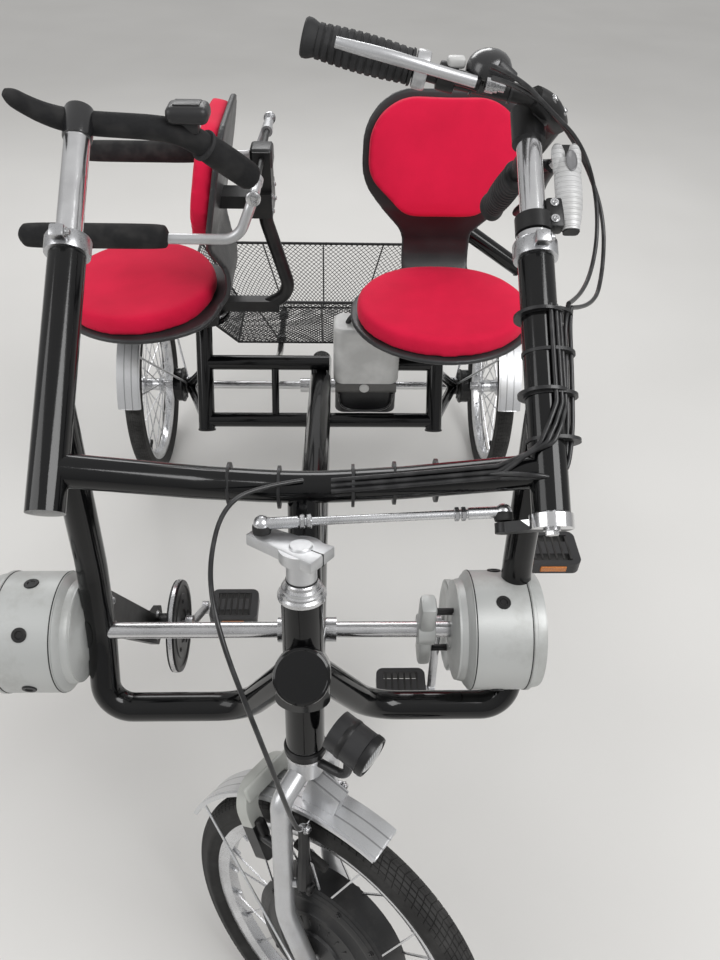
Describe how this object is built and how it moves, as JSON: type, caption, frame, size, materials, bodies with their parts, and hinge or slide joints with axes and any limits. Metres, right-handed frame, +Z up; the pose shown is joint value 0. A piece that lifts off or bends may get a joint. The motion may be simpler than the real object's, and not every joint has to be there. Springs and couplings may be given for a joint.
{
  "type": "electric side-by-side tandem tricycle",
  "caption": "Three-wheeled electric tandem with two seats side by side, joined steering, pedals for each rider, a hub motor and a rear basket.",
  "frame": {"origin": "bottom centre of the bounding box, on the ground", "axes": "+Z up; the vehicle's length along Y, with its front wheel at -Y; driver at +X"},
  "size_m": [1.11, 1.9016, 1.3029],
  "materials": {
    "frame_black": "gloss",
    "black_metal": "satin",
    "chrome": "polished",
    "cast_grey": "satin",
    "aluminium": "satin",
    "silver_paint": "satin",
    "tyre": "matte",
    "red_fabric": "matte",
    "seat_shell": "satin",
    "foam": "matte",
    "black_plastic": "satin",
    "light_grey_plastic": "satin",
    "wire_black": "satin",
    "cable_black": "satin"
  },
  "bodies": {
    "frame": {"crossbar": "frame_black", "main_frame": "frame_black", "side_frame_left": "frame_black", "side_frame_right": "frame_black", "rear_axle": "chrome", "rear_frame": "frame_black", "rear_fender_left": "silver_paint", "rear_fender_right": "silver_paint", "bracket_left": "black_metal", "bracket_right": "black_metal", "chain_cover": "cast_grey", "drum_right": "cast_grey", "drum_left": "cast_grey", "cross_shafts": "chrome", "battery_dock": "black_plastic", "battery": "light_grey_plastic", "basket": "wire_black", "driver_seat_base": "black_metal", "driver_seat_shell": "seat_shell", "driver_seat_pad": "red_fabric", "driver_back_pad": "red_fabric", "stick_holder": "frame_black", "passenger_riser": "chrome", "passenger_bar": "foam", "cables": "cable_black", "cable_front_brake": "cable_black", "cable_loop_a": "cable_black", "cable_loop_b": "cable_black"},
    "rear_left": {"rear_tyre_left": "tyre", "rear_wheel_left": "aluminium"},
    "rear_right": {"rear_tyre_right": "tyre", "rear_wheel_right": "aluminium"},
    "front_steering": {"fork": "silver_paint", "steering_lever": "aluminium", "front_fender": "silver_paint", "head_lamp": "black_plastic", "ring_lock": "black_plastic"},
    "front_wheel": {"front_tyre": "tyre", "front_rim": "aluminium", "hub_motor": "black_metal"},
    "driver_steering": {"driver_riser": "chrome", "driver_bar": "foam", "parking_lever": "light_grey_plastic"},
    "tie_rod": {"tie_rod": "chrome"},
    "left_cranks": {"cranks_left": "aluminium"},
    "right_cranks": {"cranks_right": "aluminium"},
    "passenger_seat": {"passenger_seat_base": "black_metal", "passenger_seat_shell": "seat_shell", "passenger_seat_pad": "red_fabric", "passenger_back_pad": "red_fabric"},
    "left_armrest": {"armrest_left": "silver_paint", "armrest_pad_left": "foam"},
    "right_armrest": {"armrest_right": "silver_paint", "armrest_pad_right": "foam"},
    "left_inner_pedal": {"pedal_left_inner": "black_plastic"},
    "left_outer_pedal": {"pedal_left_outer": "black_plastic"},
    "right_inner_pedal": {"pedal_right_inner": "black_plastic"},
    "right_outer_pedal": {"pedal_right_outer": "black_plastic"}
  },
  "joints": [
    {"name": "fork_steer", "type": "hinge", "parent": "frame", "child": "front_steering", "pos_m": [0.035, -0.62965, 0.7], "axis": [0, 0.284, 0.9588], "range_deg": [-113, 3]},
    {"name": "front_wheel_spin", "type": "hinge", "parent": "front_steering", "child": "front_wheel", "pos_m": [0.06777, -0.78586, 0.25346], "axis": [0.5736, 0.7854, -0.2327], "continuous": true},
    {"name": "driver_steer", "type": "hinge", "parent": "frame", "child": "driver_steering", "pos_m": [0.317, -0.55721, 0.909], "axis": [0, 0.8192, 0.5736], "range_deg": [-113, 3]},
    {"name": "tie_rod_turn", "type": "hinge", "parent": "front_steering", "child": "tie_rod", "pos_m": [-0.01169, -0.54294, 0.87764], "axis": [0, 0.284, 0.9588], "range_deg": [-3, 113]},
    {"name": "passenger_seat_turn", "type": "hinge", "parent": "frame", "child": "passenger_seat", "pos_m": [-0.235, 0.43279, 0.588], "axis": [0, 0, 1], "range_deg": [0, 90]},
    {"name": "rear_wheel_left_spin", "type": "hinge", "parent": "frame", "child": "rear_left", "pos_m": [-0.44, 0.61279, 0.252], "axis": [1, 0, 0], "continuous": true},
    {"name": "left_cranks_turn", "type": "hinge", "parent": "frame", "child": "left_cranks", "pos_m": [-0.247, -0.32721, 0.395], "axis": [1, 0, 0], "continuous": true},
    {"name": "left_inner_pedal_spin", "type": "hinge", "parent": "left_cranks", "child": "left_inner_pedal", "pos_m": [-0.129, -0.20268, 0.28675], "axis": [1, 0, 0], "continuous": true},
    {"name": "left_outer_pedal_spin", "type": "hinge", "parent": "left_cranks", "child": "left_outer_pedal", "pos_m": [-0.365, -0.45174, 0.50325], "axis": [1, 0, 0], "continuous": true},
    {"name": "rear_wheel_right_spin", "type": "hinge", "parent": "frame", "child": "rear_right", "pos_m": [0.51, 0.61279, 0.252], "axis": [1, 0, 0], "continuous": true},
    {"name": "right_cranks_turn", "type": "hinge", "parent": "frame", "child": "right_cranks", "pos_m": [0.317, -0.32721, 0.395], "axis": [1, 0, 0], "continuous": true},
    {"name": "right_inner_pedal_spin", "type": "hinge", "parent": "right_cranks", "child": "right_inner_pedal", "pos_m": [0.199, -0.35586, 0.23251], "axis": [1, 0, 0], "continuous": true},
    {"name": "right_outer_pedal_spin", "type": "hinge", "parent": "right_cranks", "child": "right_outer_pedal", "pos_m": [0.435, -0.29856, 0.55749], "axis": [1, 0, 0], "continuous": true},
    {"name": "left_armrest_lift", "type": "hinge", "parent": "passenger_seat", "child": "left_armrest", "pos_m": [-0.077, 0.28279, 0.952], "axis": [0, 1, 0], "range_deg": [0, 95]},
    {"name": "right_armrest_lift", "type": "hinge", "parent": "passenger_seat", "child": "right_armrest", "pos_m": [-0.077, 0.58279, 0.952], "axis": [0, 1, 0], "range_deg": [0, 95]}
  ],
  "couplings": [
    {"joint": "driver_steer", "follows": "fork_steer", "ratio": 1},
    {"joint": "tie_rod_turn", "follows": "fork_steer", "ratio": -1}
  ]
}
